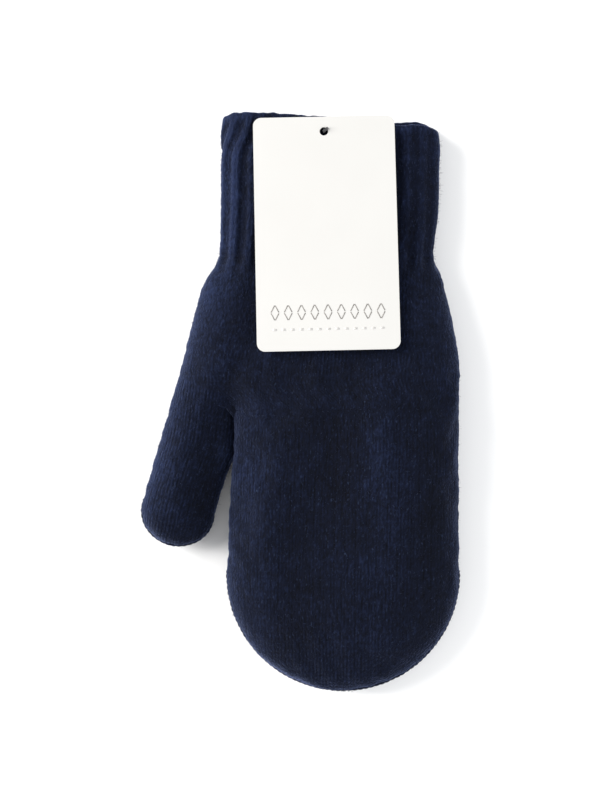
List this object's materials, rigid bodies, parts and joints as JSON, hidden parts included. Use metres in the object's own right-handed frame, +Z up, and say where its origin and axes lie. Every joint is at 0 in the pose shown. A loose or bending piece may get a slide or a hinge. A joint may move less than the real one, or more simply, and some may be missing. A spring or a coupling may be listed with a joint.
{
  "type": "knitted mitten",
  "caption": "Double-layer knitted mitten lying flat, with a ribbed cuff, a side thumb and a blank card hang tag pinned to the cuff.",
  "frame": {"origin": "under the middle of the whole mitten, on the surface that it lies on", "axes": "+Z up from the surface, +Y from the fingertips to the cuff, +X to the side away from the thumb"},
  "size_m": [0.1366, 0.2473, 0.0266],
  "materials": {
    "navy_knit": "brushed fine-gauge knit",
    "lining_knit": "plain knit",
    "linking_thread": "twisted yarn",
    "elastic": "covered elastic thread",
    "nylon": "clear nylon",
    "card": "uncoated card"
  },
  "bodies": {
    "mitten": {"hand_shell": "navy_knit", "hand_lining": "lining_knit", "fingertip_seam": "linking_thread", "ribbed_cuff": "navy_knit", "cuff_facing": "lining_knit", "cuff_elastic": "elastic", "tag_pin_bar": "nylon"},
    "thumb": {"thumb_shell": "navy_knit", "thumb_lining": "lining_knit", "thumb_join_seam": "linking_thread", "thumb_tip_seam": "linking_thread"},
    "tag_pin": {"tag_pin_paddle": "nylon"},
    "hang_tag": {"hang_tag": "card"}
  },
  "joints": [
    {"name": "thumb_swing", "type": "hinge", "parent": "mitten", "child": "thumb", "pos_m": [-0.0409, 0.002, 0.00925], "axis": [0, 0, -1], "range_deg": [0, 25]},
    {"name": "tag_lift", "type": "hinge", "parent": "mitten", "child": "tag_pin", "pos_m": [0.0101, 0.1241, 0.01679], "axis": [-1, 0, 0], "range_deg": [0, 80]},
    {"name": "tag_swivel", "type": "hinge", "parent": "tag_pin", "child": "hang_tag", "pos_m": [0.0101, 0.11429, 0.01768], "axis": [0, 0.09, 0.9959], "range_deg": [-60, 60]}
  ]
}
